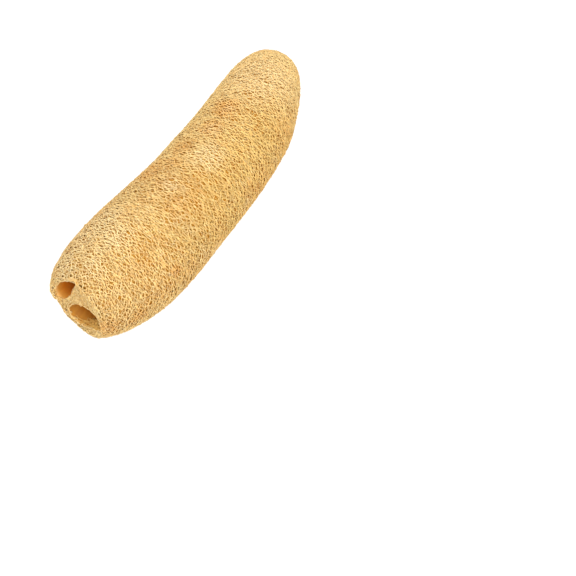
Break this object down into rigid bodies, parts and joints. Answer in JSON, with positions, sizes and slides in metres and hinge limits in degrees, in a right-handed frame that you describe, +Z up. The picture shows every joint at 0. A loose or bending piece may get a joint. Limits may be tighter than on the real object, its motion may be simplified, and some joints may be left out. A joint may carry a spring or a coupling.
{
  "type": "loofah sponge",
  "caption": "Natural loofah sponge: a gently bent, blunt cylinder of dried fibre net, with seed channels open at one end and a rounded closed tip, lying on its side.",
  "frame": {"origin": "middle of the bounding box, at the level of the flat foot that it lies on", "axes": "+X from the open end to the closed tip, +Y to the hollow side of the bend, +Z up from the surface it lies on"},
  "size_m": [0.3042, 0.0978, 0.0838],
  "materials": {
    "loofah_fibre": "dry, matt, straw-coloured plant fibre in an open net"
  },
  "bodies": {
    "root": {"loofah": "loofah_fibre"}
  },
  "joints": []
}
